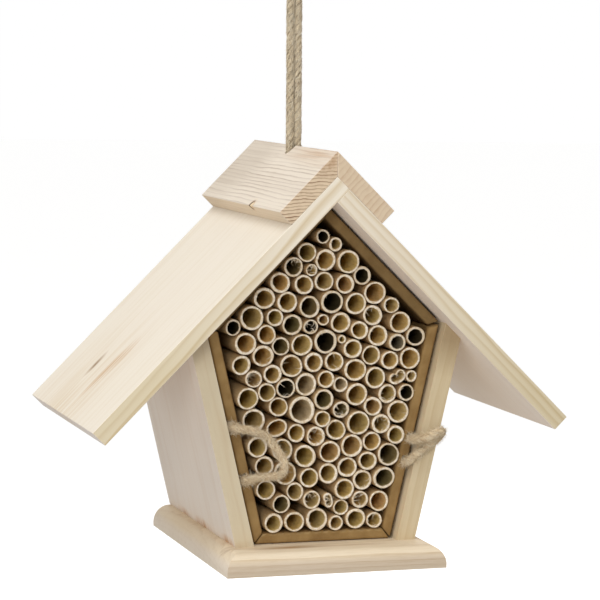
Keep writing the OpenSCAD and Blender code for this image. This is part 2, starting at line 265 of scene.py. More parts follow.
class Look:
    """Builds one node material, with short calls for its nodes."""

    def __init__(self, name, roughness=0.6, specular=0.3):
        self.material = bpy.data.materials.new(name)
        self.material.use_nodes = True
        self.tree = self.material.node_tree
        self.shader = self.tree.nodes["Principled BSDF"]
        self.shader.inputs["Roughness"].default_value = roughness
        self.shader.inputs["Specular IOR Level"].default_value = specular
        self.here = self.node("ShaderNodeTexCoord").outputs["Object"]

    def node(self, kind, **settings):
        n = self.tree.nodes.new(kind)
        for key, value in settings.items():
            setattr(n, key, value)
        return n

    def feed(self, socket, value):
        if isinstance(value, bpy.types.NodeSocket):
            self.tree.links.new(value, socket)
        else:
            socket.default_value = value

    def math(self, operation, a, b=0.0, c=None, clamp=False):
        n = self.node("ShaderNodeMath", operation=operation, use_clamp=clamp)
        self.feed(n.inputs[0], a)
        self.feed(n.inputs[1], b)
        if c is not None:
            self.feed(n.inputs[2], c)
        return n.outputs[0]

    def times(self, a, b):
        return self.math("MULTIPLY", a, b)

    def plus(self, a, b):
        return self.math("ADD", a, b)

    def minus(self, a, b):
        return self.math("SUBTRACT", a, b)

    def times_plus(self, a, b, c):
        return self.math("MULTIPLY_ADD", a, b, c)

    def vector(self, operation, a, b=None):
        n = self.node("ShaderNodeVectorMath", operation=operation)
        self.feed(n.inputs[0], a)
        if b is not None:
            self.feed(n.inputs[1], b)
        return n.outputs["Value"] if operation == "LENGTH" else n.outputs[0]

    def distance(self, place, middle, long):
        """How far a place is from a middle, where X counts for less by the factor long."""
        x, y, z = [self.minus(a, b) for a, b in zip(place, middle)]
        return self.vector("LENGTH", self.join(self.math("DIVIDE", x, long), y, z))

    def attribute(self, name):
        return self.node("ShaderNodeAttribute", attribute_name=name).outputs["Fac"]

    def noise(self, at, scale, detail=3.0, rough=0.5):
        n = self.node("ShaderNodeTexNoise")
        self.feed(n.inputs["Vector"], at)
        n.inputs["Scale"].default_value = scale
        n.inputs["Detail"].default_value = detail
        n.inputs["Roughness"].default_value = rough
        return n.outputs["Fac"]

    def ramp(self, value, *stops):
        n = self.node("ShaderNodeValToRGB")
        self.feed(n.inputs[0], value)
        marks = n.color_ramp.elements
        while len(marks) < len(stops):
            marks.new(0.5)
        for mark, (at, tint) in zip(marks, stops):
            mark.position = at
            mark.color = colour(tint) if isinstance(tint, str) else (tint, tint, tint, 1)
        return n.outputs[0]

    def remap(self, value, low, high, out_low=0.0, out_high=1.0):
        n = self.node("ShaderNodeMapRange")
        self.feed(n.inputs["Value"], value)
        limits = (("From Min", low), ("From Max", high), ("To Min", out_low), ("To Max", out_high))
        for key, number in limits:
            n.inputs[key].default_value = number
        return n.outputs["Result"]

    def mix(self, share, a, b, blend="MIX"):
        n = self.node("ShaderNodeMix", data_type="RGBA", blend_type=blend)
        self.feed(n.inputs["Factor"], share)
        self.feed(n.inputs[6], colour(a) if isinstance(a, str) else a)
        self.feed(n.inputs[7], colour(b) if isinstance(b, str) else b)
        return n.outputs[2]

    def tinted(self, share, tint, factors):
        """The tint, multiplied by these factors of red, green and blue as far as share says."""
        return self.mix(share, tint, self.mix(1.0, tint, (*factors, 1), "MULTIPLY"))

    def axes(self, turn=(0, 0, 0)):
        """The place in millimetres, turned by these angles about X, Y and Z."""
        n = self.node("ShaderNodeMapping", vector_type="POINT")
        self.feed(n.inputs["Vector"], self.here)
        n.inputs["Rotation"].default_value = turn
        n.inputs["Scale"].default_value = (1 / MM, 1 / MM, 1 / MM)
        return n.outputs[0]

    def split(self, at):
        n = self.node("ShaderNodeSeparateXYZ")
        self.feed(n.inputs[0], at)
        return n.outputs[0], n.outputs[1], n.outputs[2]

    def join(self, x, y, z):
        n = self.node("ShaderNodeCombineXYZ")
        for socket, value in zip(n.inputs, (x, y, z)):
            self.feed(socket, value)
        return n.outputs[0]

    def done(self, tint, height=None, strength=0.3, distance=0.0003, rough=None):
        self.feed(self.shader.inputs["Base Color"], tint)
        if rough is not None:
            self.feed(self.shader.inputs["Roughness"], rough)
        if height is not None:
            bump = self.node("ShaderNodeBump")
            bump.inputs["Strength"].default_value = strength
            bump.inputs["Distance"].default_value = distance
            self.feed(bump.inputs["Height"], height)
            self.feed(self.shader.inputs["Normal"], bump.outputs[0])
        return self.material


def knot_mark(look, place, slow, knot):
    """How strongly each place belongs to the knot."""
    *middle, size, long = knot
    gap = look.distance(place, middle, long)
    wobble = look.times_plus(look.noise(slow, 0.35, 2), size * 0.9, gap)
    return look.remap(wobble, size * 0.55, size * 1.75, 1, 0)


def growth_rings(look, at, slow, pith, spacing, wave, uneven, sharp, thin, knotty):
    """From 0 in each year's pale wood to 1 in its dark wood."""
    _, y, z = look.split(at)
    warp_y = look.times_plus(look.noise(slow, 0.022, 2), wave * 4, -wave * 2)
    elsewhere = look.vector("ADD", slow, (57.0, 21.0, 5.0))
    warp_z = look.times_plus(look.noise(elsewhere, 0.022, 2), wave * 4, -wave * 2)
    fine = look.times_plus(look.noise(slow, 0.3, 2), 0.8, -0.4)
    if uneven:
        fine = look.times_plus(look.noise(slow, 0.11, 1), uneven, fine)
    y = look.plus(look.minus(y, pith[0]), warp_y)
    z = look.plus(look.minus(z, pith[1]), warp_z)
    out = look.plus(look.vector("LENGTH", look.join(0.0, y, z)), fine)
    if knotty is not None:
        out = look.times_plus(knotty, spacing * 2.2, out)
    years = look.math("DIVIDE", out, spacing)
    year = look.math("FRACT", years)
    year_tone = look.noise(look.join(look.math("FLOOR", years), 3.3, 7.7), 0.8, 1)
    if thin:
        ring = look.ramp(year, (0.0, 0.0), (0.45, 0.06), (0.66, 0.25), (0.8, 1.0), (0.93, 1.0), (1.0, 0.0))
        ring = look.times(ring, look.remap(look.noise(at, 0.028, 1), 0.35, 0.65, 0.5, 1.1))
    else:
        ring = look.ramp(year, (0.0, 0.0), (0.3, 0.05), (sharp, 0.5), ((1 + sharp) / 2, 1.0), (1.0, 0.0))
    return look.times(ring, look.remap(year_tone, 0.3, 0.7, 0.4, 1.15))


def wood(name, turn, early, late, spacing, pith, ring_share=0.5, fibre_share=0.35, stain=None,
         knot=None, wave=2.0, sharp=0.75, edge=(1, 1, 1), fade=None, stains=(),
         end_rings=1.0, calm=None, uneven=0.0, painted_eave_shadow=None, underside_light=None, side=None, thin=False):
    """Pine whose grain runs along X once the place is turned.

    pith is the trunk's middle in the turned Y and Z, early and late a year's pale and dark wood, and
    spacing its width in millimetres. A knot is its middle, size and stretch along the grain; a stain
    has its colour, strength and evenness too. edge, side and under tint the faces that look along Y,
    along X and down: edge with their own tone and with painted shade, side and under with painted
    light. calm is the X and Z of the way that a face with faint rings and a painted darker, warmer
    shade looks. painted_eave_shadow paints the shadow of the roof's eave at the top of the faces along Y.
    """
    look = Look(name, roughness=0.62, specular=0.25)
    at = look.axes(turn)
    place = look.split(at)
    slow = look.vector("MULTIPLY", at, (0.16, 1, 1))
    knotty = knot_mark(look, place, slow, knot) if knot else None
    ring = growth_rings(look, at, slow, pith, spacing, wave, uneven, sharp, thin, knotty)
    fibre = look.noise(look.vector("MULTIPLY", at, (0.05, 1, 1)), 2.4, 4, 0.65)
    streak = look.noise(look.vector("MULTIPLY", at, (0.03, 1, 1)), 0.35, 3, 0.6)
    nx, ny, nz = look.split(look.node("ShaderNodeTexCoord").outputs["Normal"])
    sideways = look.math("ABSOLUTE", nx)
    facing = look.remap(look.math("ABSOLUTE", ny), 0.75, 0.95)
    if side is not None:
        ring = look.times(ring, look.remap(sideways, 0.25, 0.7, 1.0, 0.35))
    if calm is not None:
        quiet = look.remap(look.times_plus(nx, calm[0], look.times(nz, calm[1])), 0.75, 0.95)
        ring = look.times(ring, look.remap(quiet, 0, 1, 1.0, 0.3))
    share = look.times(ring, look.remap(facing, 0, 1, ring_share, ring_share * end_rings))
    share = look.plus(share, look.times_plus(fibre, fibre_share, -0.5 * fibre_share))
    share = look.math("ADD", share, look.times_plus(streak, 0.5, -0.25), clamp=True)
    cloud = look.remap(look.noise(at, 0.02, 3), 0.35, 0.75, 0, 0.6)
    tint = look.mix(share, look.mix(cloud, early, stain or early), late)
    if knot:
        tint = look.mix(look.times(knotty, 0.7), tint, "#B08A5E")
        tint = look.mix(look.times(look.math("POWER", knotty, 3.0), 0.85), tint, "#6B4A2C")
    for *middle, size, long, hue, strength, even in stains:
        gap = look.distance(place, middle, long)
        mark = look.times(look.remap(gap, size * 0.6 * even, size, 1, 0),
                          look.remap(streak, 0.4, 0.62, even, 1))
        tint = look.mix(look.times(mark, strength), tint, hue)
    if fade is not None:
        facing = look.times(facing, look.remap(place[0], *fade, 0.1, 1.0))
    # edge gives the faces that look along Y their own tone and painted shade.
    tint = look.tinted(facing, tint, edge)
    # Painted shade: the faces that calm picks out are darker and warmer.
    if calm is not None:
        tint = look.tinted(quiet, tint, (0.95, 0.88, 0.78))
    # Painted light: the faces that look along X get a cooler cast.
    if side is not None:
        tint = look.tinted(look.remap(sideways, 0.75, 0.95), tint, side)
    # Painted light: the faces that look down are lightened, as if lit from below.
    if underside_light is not None:
        tint = look.tinted(look.remap(nz, -0.4, -0.65), tint, underside_light)
    # Painted shadow of the roof's eave: the top of the faces that look along Y darkens towards brown.
    if painted_eave_shadow is not None:
        low, high, much = painted_eave_shadow
        tint = look.mix(look.times(facing, look.remap(place[0], low, high, 0, much)), tint, "#7E6241")
    height = look.plus(look.times(fibre, 0.6), look.times(ring, 0.35))
    return look.done(tint, height, 0.35, 0.00025, look.remap(fibre, 0.3, 0.7, 0.56, 0.72))


def card(name, shade=1.0):
    """Kraft board with darker bands, paler where it is worn and at its cut lips. shade darkens all of it as
    painted shade.
    """
    look = Look(name, roughness=0.88, specular=0.15)
    at = look.axes()
    pulp = look.noise(at, 0.9, 3, 0.5)
    cloud = look.noise(at, 0.11, 2, 0.5)
    bands = look.noise(look.vector("MULTIPLY", at, (1, 0.15, 1)), 0.16, 3, 0.6)
    tint = look.ramp(pulp, (0.3, "#8C6F46"), (0.7, "#95774D"))
    tint = look.mix(look.remap(bands, 0.35, 0.7, 0, 0.45), tint, "#7C5E38")
    tint = look.mix(look.remap(cloud, 0.4, 0.65, 0, 0.4), tint, "#A38559")
    worn = look.times(look.attribute("worn"), look.remap(cloud, 0.35, 0.6, 0.1, 0.5))
    tint = look.mix(worn, tint, "#AB8D60")
    tint = look.mix(look.attribute("lip"), tint, "#C0A376")
    # shade darkens the whole board: painted shade.
    tint = look.mix(1.0, tint, (shade, shade, shade * 0.95, 1), "MULTIPLY")
    return look.done(tint, look.times_plus(pulp, 0.5, cloud), 0.25, 0.0003)


def reed_look():
    """Straw outside, cream at the cut, brown to olive inside, with painted shade deep in the bore."""
    look = Look("cut_reed", roughness=0.55, specular=0.35)
    at = look.axes()
    fibre = look.noise(look.vector("MULTIPLY", at, (1, 0.05, 1)), 2.6, 4, 0.65)
    blotch = look.noise(look.vector("MULTIPLY", at, (1, 0.3, 1)), 0.5, 3, 0.6)
    grit = look.noise(at, 5.5, 3, 0.7)
    mottle = look.noise(at, 0.8, 4, 0.75)
    tone, dark = look.attribute("tone"), look.attribute("dark")
    skin = look.ramp(fibre, (0.2, "#AE895A"), (0.5, "#CAA878"), (0.8, "#E2C99A"))
    skin = look.mix(look.remap(blotch, 0.45, 0.75, 0, 0.6), skin, "#A07C50")
    skin = look.mix(look.times(tone, 0.45), skin, "#DCC496")
    hue = look.ramp(tone, (0.0, "#E0AC68"), (0.2, "#E8C26C"), (0.7, "#DEC468"), (0.85, "#E6CA88"),
                    (1.0, "#DCCAB0"))
    inside = look.mix(look.remap(fibre, 0.3, 0.7, 0.1, 0.75), hue, "#F5DFAB")
    inside = look.mix(look.remap(blotch, 0.45, 0.75, 0, 0.5), inside, "#94773F")
    # Painted shade: dark turns the bore towards near black, and the cut face a little darker.
    inside = look.mix(dark, inside, "#1E150B")
    cut = look.ramp(mottle, (0.3, "#CBB189"), (0.45, "#E6D5B8"), (0.6, "#FAF1E2"))
    cut = look.mix(look.remap(grit, 0.5, 0.75, 0, 0.6), cut, "#C4A87F")
    cut = look.mix(look.times(dark, 0.25), cut, "#B79E78")
    tint = look.mix(look.attribute("inner"), skin, inside)
    tint = look.mix(look.attribute("cut"), tint, cut)
    height = look.plus(look.times(fibre, 0.5), look.times(grit, 0.6))
    return look.done(tint, height, 0.4, 0.0002)


def jute(name, pale, mid, deep, groove_shade):
    """Fibres that follow the plies' twist, with painted shade in the grooves between the plies."""
    look = Look(name, roughness=0.85, specular=0.15)
    turn_x, turn_y, run = [look.attribute(n) for n in ("turn_x", "turn_y", "run")]
    fibre = look.noise(look.join(turn_x, turn_y, look.times(run, 220.0)), 3.2, 4, 0.7)
    coarse = look.noise(look.join(turn_x, turn_y, look.times(run, 60.0)), 1.2, 2, 0.5)
    speck = look.noise(look.here, 900.0, 2, 0.6)
    tint = look.ramp(fibre, (0.25, deep), (0.5, mid), (0.75, pale))
    tint = look.mix(look.remap(coarse, 0.4, 0.7, 0, 0.5), tint, mid)
    tint = look.mix(look.remap(speck, 0.55, 0.8, 0, 0.4), tint, pale)
    # Painted shade in the grooves between the plies.
    tint = look.mix(look.remap(look.attribute("ply"), 0.45, 0.85, groove_shade, 0), tint, deep)
    return look.done(tint, look.plus(fibre, look.times(speck, 0.5)), 0.6, 0.0003)


def fibre_look(name, pale, mid, deep):
    """Loose fibres, each of one tone."""
    look = Look(name, roughness=0.8, specular=0.2)
    tint = look.ramp(look.attribute("tone"), (0.0, deep), (0.25, deep), (0.5, mid), (1.0, pale))
    tint = look.mix(look.remap(look.noise(look.here, 700.0, 2), 0.35, 0.65, 0, 0.4), tint, mid)
    return look.done(tint)


def steel():
    """Drawn wire."""
    look = Look("nail_steel", roughness=0.4, specular=0.5)
    look.shader.inputs["Metallic"].default_value = 1.0
    scratch = look.noise(look.vector("MULTIPLY", look.here, (1.0, 1.0, 0.15)), 4000.0, 3)
    tint = look.ramp(scratch, (0.3, "#7E7E7E"), (0.7, "#ABABAB"))
    return look.done(tint, scratch, 0.2, 0.0001, look.remap(scratch, 0.3, 0.7, 0.3, 0.55))


# ---- cords

# The routes' points are in millimetres. The doubled cord is the same on both sides of the middle.
CORD_HALF = [[1.75, 173], [1.75, 180], [1.75, 188], [1.75, 196], [1.75, 204], [1.75, 212],
             [1.75, 220], [1.75, 228], [1.75, 236], [1.75, 244], [1.75, 252], [1.8, 259],
             [2.6, 265], [4.6, 271], [7.2, 277], [9.4, 283], [10, 289], [8.4, 294.5], [4.6, 298.3]]
CORD_Y = 4
CORD_ROUTE = ([[x, CORD_Y, z] for x, z in CORD_HALF] + [[0, CORD_Y, 299.4]]
              + [[-x, CORD_Y, z] for x, z in reversed(CORD_HALF)])
CORD_DIA = 3.4 * MM
TWINE_DIA = 3 * MM

LEFT_LOOP = [[-43, -51.5, 64], [-40.6, -54.8, 63.9], [-37, -56.2, 63.4], [-33.2, -56.4, 62.2],
             [-29.8, -56.2, 60.4], [-27.2, -56.2, 57.6], [-25, -57, 54.6], [-23.4, -58.8, 51.8],
             [-22.6, -60.4, 49], [-22.4, -60.6, 46.2], [-23, -59, 43.8], [-24.4, -56.2, 42.4],
             [-26.8, -53.8, 41.8], [-30, -52.4, 41.6], [-33.4, -51.9, 41], [-36.2, -50.6, 40],
             [-37.4, -47, 39.5]]
RIGHT_LOOP = [[41.2, -51.5, 55.8], [42, -55.8, 56.4], [43.6, -59.2, 57.4], [46, -61.4, 58.8],
              [48.6, -62.2, 60.2], [50.8, -61.4, 60.8], [52, -59.2, 60], [52, -56.8, 58.2],
              [50.8, -55.2, 56.2], [48.6, -54.4, 54.2], [46, -54, 52.2], [43.4, -53.6, 50.2],
              [40.8, -52.8, 48], [39.2, -51, 46], [38.7, -47.4, 45]]
# The walls and the tray's sides lean outward. A reach is measured square to them at the base's top:
# to the inside and the outside of the tray's side, in which the twine is sunk.
LEAN = math.radians(13)
BASE_TOP = 10
ROOM_REACH = 26.341
TRAY_REACH = ROOM_REACH + 4.8
TWINE_SUNK = 1.3
CHANNEL_HALF = 1.75 * MM
# A leg of twine runs from behind the tray to its rim, at one of these heights.
LEG_END = 59
LEG_PITCH = 9
LEG_POINTS = 12
LEFT_LEGS = (64, 39.5)
RIGHT_LEGS = (55.5, 45)


def side_x(reach, z):
    """How far out a leaning side is at this height."""
    return (reach + (z - BASE_TOP) * math.sin(LEAN)) / math.cos(LEAN)


def leg(side, z):
    """The stretch of a twine in its channel, from behind the tray to its rim."""
    x = side_x(TRAY_REACH - TWINE_SUNK, z)
    return [[side * x, LEG_END - LEG_PITCH * k, z] for k in range(LEG_POINTS)]


def knot_path(centre, size):
    """A small closed trefoil, as a tightened overhand knot."""
    t = np.linspace(0, 2 * math.pi, 73)
    x = np.sin(t) + 2 * np.sin(2 * t)
    y = np.cos(t) - 2 * np.cos(2 * t)
    z = -1.5 * np.sin(3 * t)
    return np.array(centre) * MM + np.stack([x, z, y], axis=1) * size * MM


CORD_VALUES = ("ply", "turn_x", "turn_y", "run")
CORD_LOOK = jute("jute_cord", "#EFE2C8", "#DACAAC", "#9A886B", 0.55)
TWINE_LOOK = jute("jute_twine", "#FFF0D6", "#EDD8B4", "#C2A476", 0.9)
CORD_FIBRES = fibre_look("jute_cord_fibres", "#FCF4E0", "#E2D2B6", "#846E4E")
TWINE_FIBRES = fibre_look("jute_twine_fibres", "#FFF8E6", "#F0DEBC", "#B8986A")


def make_cord(name, route, diameter, seed, body, slot, looks, pitch, hairs, reach, start, end,
              full=1.0, tufts=(), bridge=0.0):
    """A three-ply cord with loose fibres between start and end, denser in the tufts.

    full swells it beyond its nominal diameter, and bridge adds pale fibres that stand off it.
    """
    path = smooth_path([[c * MM for c in p] for p in route], 0.35 * MM)
    shell = Shell(CORD_VALUES)
    twisted_cord(shell, path, diameter, 3, pitch, seed, full=full)
    cord = shell.build(name + "_cord", body, slot, looks[0])
    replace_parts(cord, name)
    loose = Shell(("tone",))
    fuzz(loose, path, diameter * full, hairs, reach * MM, seed + 1, start, end)
    lint(loose, path, diameter * full, pitch, int(0.7 * hairs), seed + 2, start, end)
    if bridge:
        lint(loose, path, diameter * bridge, pitch, hairs // 2, seed + 9, start, end, 0.35)
    for k, (first, last) in enumerate(tufts):
        fuzz(loose, path, diameter * full, hairs // 8, reach * 1.3 * MM, seed + 3 + k, first, last)
    fibres = loose.build(name + "_fibres", body, slot, looks[1])


def make_cords():
    make_cord("hanging_cord", CORD_ROUTE, CORD_DIA, 11, "house", "jute_cord",
              (CORD_LOOK, CORD_FIBRES), 11 * MM, 3200, 1.8, 0.04, 0.96, bridge=1.1)
    make_cord("left_pull_loop", leg(-1, LEFT_LEGS[0]) + LEFT_LOOP + leg(-1, LEFT_LEGS[1])[::-1],
              TWINE_DIA, 23, "tray", "jute_twine", (TWINE_LOOK, TWINE_FIBRES),
              8 * MM, 3600, 3.0, 0.36, 0.64, full=1.08, tufts=((0.37, 0.41), (0.59, 0.63)))
    make_cord("right_pull_loop", leg(1, RIGHT_LEGS[0]) + RIGHT_LOOP + leg(1, RIGHT_LEGS[1])[::-1],
              TWINE_DIA, 37, "tray", "jute_twine", (TWINE_LOOK, TWINE_FIBRES),
              8 * MM, 3200, 3.0, 0.37, 0.63, full=1.08, tufts=((0.38, 0.42), (0.58, 0.62)))


def make_knots():
    """The cord's knot in its pocket, and one behind the tray on each leg of the twines."""
    low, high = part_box("cord_knot")
    centre = (low + high) / 2 / MM
    shell = Shell(CORD_VALUES)
    twisted_cord(shell, knot_path(centre, 1.28), CORD_DIA * 0.98, 3, 11 * MM, 5)
    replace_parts(shell.build("cord_knot_tied", "house", "jute_cord", CORD_LOOK), "cord_knot")
    shell = Shell(CORD_VALUES)
    for i, (side, z) in enumerate([(-1, z) for z in LEFT_LEGS] + [(1, z) for z in RIGHT_LEGS]):
        twisted_cord(shell, knot_path(leg(side, z)[0], 0.5), 1.8 * MM, 3, 5 * MM, 60 + i, around=18)
    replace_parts(shell.build("pull_loop_knots_tied", "tray", "jute_twine", TWINE_LOOK), "pull_loop_knots")


make_cords()
make_knots()


# ---- wooden house

QUARTER = math.pi / 4


def board_looks():
    """A wood of its own for each board, and the nails' steel."""
    return {
        "base_board": wood(
            "base_wood", (0, 0, 0), "#EBDBC1", "#BFA27A", 2.2, (20, -420), 0.4, 0.9, "#E3D1B2",
            edge=(0.75, 0.72, 0.72), wave=1.0, uneven=1.2, side=(0.97, 0.99, 1.08),
            stains=((-20, -56, 10, 6, 4, "#94682F", 1.0, 0.2),
                    (-44, -52, 10, 5, 2.5, "#94682F", 0.8, 0.2),
                    (12, -57, 10, 4, 5, "#A87E45", 0.5, 0.1))),
        "left_wall": wood(
            "left_wall_wood", (0, math.pi / 2 + LEAN, 0), "#EDE1D3", "#D8BFA4", 9.0, (5, 110), 0.22, 0.4,
            "#E6D9CB", edge=(0.79, 0.76, 0.62), uneven=9.0, painted_eave_shadow=(98, 113, 0.35),
            stains=((19.5, 5, 39, 18, 0.25, "#C08A48", 0.8, 0.3),
                    (19.5, 40, 39, 15, 0.25, "#C08A48", 0.6, 0.3),
                    (19.5, -40, 39, 14, 0.3, "#C08A48", 0.8, 0.3))),
        "right_wall": wood(
            "right_wall_wood", (0, math.pi / 2 - LEAN, 0), "#DFCDAC", "#C2A57A", 4.0, (-20, -105), 0.3, 0.4,
            "#D4BE96", edge=(0.90, 0.89, 0.86), uneven=4.0, painted_eave_shadow=(94, 111, 0.5)),
        "back_board": wood(
            "back_wood", (0, math.pi / 2, 0), "#E2D0B0", "#C3A67C", 5.5, (10, 90), 0.55, 0.3, "#D8C5A2",
            wave=3.5),
        "left_roof_board": wood(
            "left_roof_wood", (0, QUARTER + 0.03, 0), "#F2E8D7", "#D6C099", 3.2, (90, -45), 0.1, 0.25,
            "#F2E7D8", sharp=0.6, edge=(0.83, 0.79, 0.66), end_rings=7.0, fade=(110, 10), uneven=4.0,
            underside_light=(1.02, 1.01, 1.08), knot=(0, 19.6, 124, 2.6, 2.8),
            stains=((-25, 10, 124, 55, 1.2, "#D9BF98", 0.5, 0.1),
                    (-2, -2, 124, 9, 1.8, "#C8985A", 0.75, 0.1),
                    (9, -7, 124, 7, 2.0, "#CDA06A", 0.7, 0.1))),
        "right_roof_board": wood(
            "right_roof_wood", (0, -QUARTER - 0.02, 0), "#EDE2CF", "#D2BC95", 3.4, (-70, 60), 0.12, 0.3,
            "#E8DBC8", sharp=0.6, edge=(0.81, 0.77, 0.64), end_rings=7.0, fade=(-100, 10), uneven=4.0,
            underside_light=(1.12, 1.11, 1.19)),
        "left_ridge_board": wood(
            "left_ridge_wood", (0, 0, math.pi / 2), "#EDE1D0", "#7C5232", 1.5, (0, -500), 0.42, 0.2,
            "#EADDCB", wave=0.3, edge=(0.88, 0.78, 0.65), thin=True, end_rings=2.8,
            calm=(-0.707, -0.707), uneven=2.0,
            stains=((50, -3, 185, 8, 8, "#C49360", 0.5, 0.2),
                    (-60, -8, 180, 34, 1.6, "#C6B7A4", 0.55, 0.8),
                    (70.5, -4, 181, 12, 0.6, "#8A5A36", 0.8, 0.4),
                    (17.4, -26.8, 161.2, 5.2, 1.0, "#DDB47C", 0.6, 0.5),
                    (17.3, -26.8, 161.2, 3.7, 0.85, "#8A5C34", 0.9, 1.0),
                    (16.7, -26.8, 161.2, 3.1, 0.85, "#40260F", 1.0, 1.0),
                    (18.1, -26.8, 161.2, 2.7, 0.85, "#F0D8B0", 1.0, 1.0))),
        "right_ridge_board": wood(
            "right_ridge_wood", (0, 0, math.pi / 2), "#EBDAC6", "#C09878", 2.4, (400, -150), 0.5, 0.25,
            "#E8D5BE", wave=0.5, edge=(0.85, 0.81, 0.72), uneven=3.0),
        "base_nails": steel(),
    }


def make_wood():
    """The boards keep their CAD shape, with the slightly broken edges of sanded wood."""
    for name, look in board_looks().items():
        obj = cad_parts[name]
        mesh = obj.data
        if "custom_normal" in mesh.attributes:
            mesh.attributes.remove(mesh.attributes["custom_normal"])
        mesh.materials.clear()
        mesh.materials.append(look)
        mesh.polygons.foreach_set("use_smooth", [name in ("base_board", "base_nails")] * len(mesh.polygons))
        weld = obj.modifiers.new("weld", "WELD")
        weld.merge_threshold = 0.000002
        if name != "base_nails":
            flats = obj.modifiers.new("whole_flats", "DECIMATE")
            flats.decimate_type = "DISSOLVE"
            flats.angle_limit = math.radians(0.4)
        bevel = obj.modifiers.new("bevel", "BEVEL")
        bevel.width = (0.15 if name == "base_nails" else 0.45) * MM
        bevel.segments = 2
        bevel.limit_method = "ANGLE"
        bevel.angle_limit = math.radians(30)
        bevel.harden_normals = True


make_wood()


# ---- cardboard tray

def front_outline(node):
    """The corners [x, z] of a panel's front face, from its CAD mesh."""
    low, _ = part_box(node)
    corners = [(round(v.co.x, 6), round(v.co.z, 6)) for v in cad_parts[node].data.vertices
               if abs(v.co.y - low.y) < 1e-5]
    return list(dict.fromkeys(corners))


# How far a folded edge lies back at each share of its width, in thicknesses of the card.
FOLD = [(0.0, 0.16), (0.05, 0.07), (0.14, 0.02), (0.32, 0.0), (0.5, 0.012), (0.68, 0.0), (0.86, 0.02),
        (0.95, 0.07), (1.0, 0.16)]
# How deep a twine's channel is cut, as a share of the side's thickness.
CHANNEL_DEPTH = 0.62


def panel_stops(length, gaps, channels, count):
    """Shares of a panel's length at which it has a ring, with a pair at each wall of a channel."""
    cuts = []
    for at, half in channels:
        cuts += [at - half - 0.15 * MM, at - half, at + half, at + half + 0.15 * MM]
    even = np.linspace(gaps[0] * MM / length, 1 - gaps[1] * MM / length, count)
    clear = [s for s in even if not any(abs(s * length - c) < 0.6 * MM for c in cuts)]
    return sorted(clear + [c / length for c in cuts])


def panel_loop(y0, y1, thick, sunk, wavy):
    """One ring round a panel: place along Y, share of the thickness, and wear."""
    lengthwise = (y1, (y0 + y1) / 2, y0 + 8 * MM, y0 + 3 * MM)
    loop = [(y, sunk, 0.0) for y in lengthwise]
    for t, d in FOLD:
        y = y0 + d * thick + wavy(t)
        if t < sunk:
            loop.append((y, sunk + t * 0.01, 1.0))
        else:
            loop.append((y, t, 1.0 if d < 0.05 else 0.5))
    return loop + [(y, 1.0, 0.0) for y in lengthwise[::-1]]


def panel(name, node, outer, inner, y0, y1, look, seed, channels=(), gaps=(0.3, 0.3), curl=0.0,
          flutes=0.0):
    """A flat roll of card between two corners of the tray, whose fold is its front edge."""
    rng = random.Random(seed)
    outer = [np.array(p) for p in outer]
    inner = [np.array(p) for p in inner]
    length = float(np.linalg.norm(outer[1] - outer[0]))
    stops = panel_stops(length, gaps, channels, 145 if flutes else 73)
    waves = [(rng.uniform(15, 160), rng.uniform(0, 6.28), rng.uniform(0.3, 1)) for _ in range(6)]

    def wavy(s, k, size):
        return size * MM * sum(a * math.sin(f * s + p + 1.7 * k) for f, p, a in waves) / 3

    thick = float(np.linalg.norm((outer[0] + outer[1] - inner[0] - inner[1]) / 2))
    points, worn, lip = [], [], []
    for s in stops:
        corner = outer[0] + (outer[1] - outer[0]) * s
        across = inner[0] + (inner[1] - inner[0]) * s - corner
        inward = across / np.linalg.norm(across)
        in_cut = any(abs(s * length - at) < half + 0.05 * MM for at, half in channels)
        bend = curl * MM * max(0.0, (s - 0.9) / 0.1) ** 2
        flute = flutes * (0.5 + 0.5 * math.sin(2 * math.pi * s * length / (4.6 * MM) + wavy(s, 1, 900)))
        loop = panel_loop(y0, y1, thick, CHANNEL_DEPTH if in_cut else 0.0, lambda t: wavy(s, t, 0.16))
        for i, (y, t, w) in enumerate(loop):
            edge = wavy(s, 2 * i, 0.12) if t > 0.9 or (t < 0.02 and not in_cut) else 0.0
            if t > 0.8 and y < y0 + 2 * MM:
                edge += 0.5 * flute * MM
            p = corner + across * t + inward * (-abs(edge) if t > 0.9 else abs(edge))
            points.append((p[0], y + (bend if y < y0 + 9 * MM else 0), p[1]))
            worn.append(w)
            lip.append(flute if 0.8 < t <= 0.95 and w > 0 else 0.0)
    shell = Shell(("worn", "lip"))
    shell.add(points, grid_faces(len(stops), len(points) // len(stops)), worn=worn, lip=lip)
    obj = shell.build(name, "tray", "tray_card", look)
    fix = bmesh.new()
    fix.from_mesh(obj.data)
    bmesh.ops.recalc_face_normals(fix, faces=fix.faces)
    fix.to_mesh(obj.data)
    fix.free()
    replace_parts(obj, node)


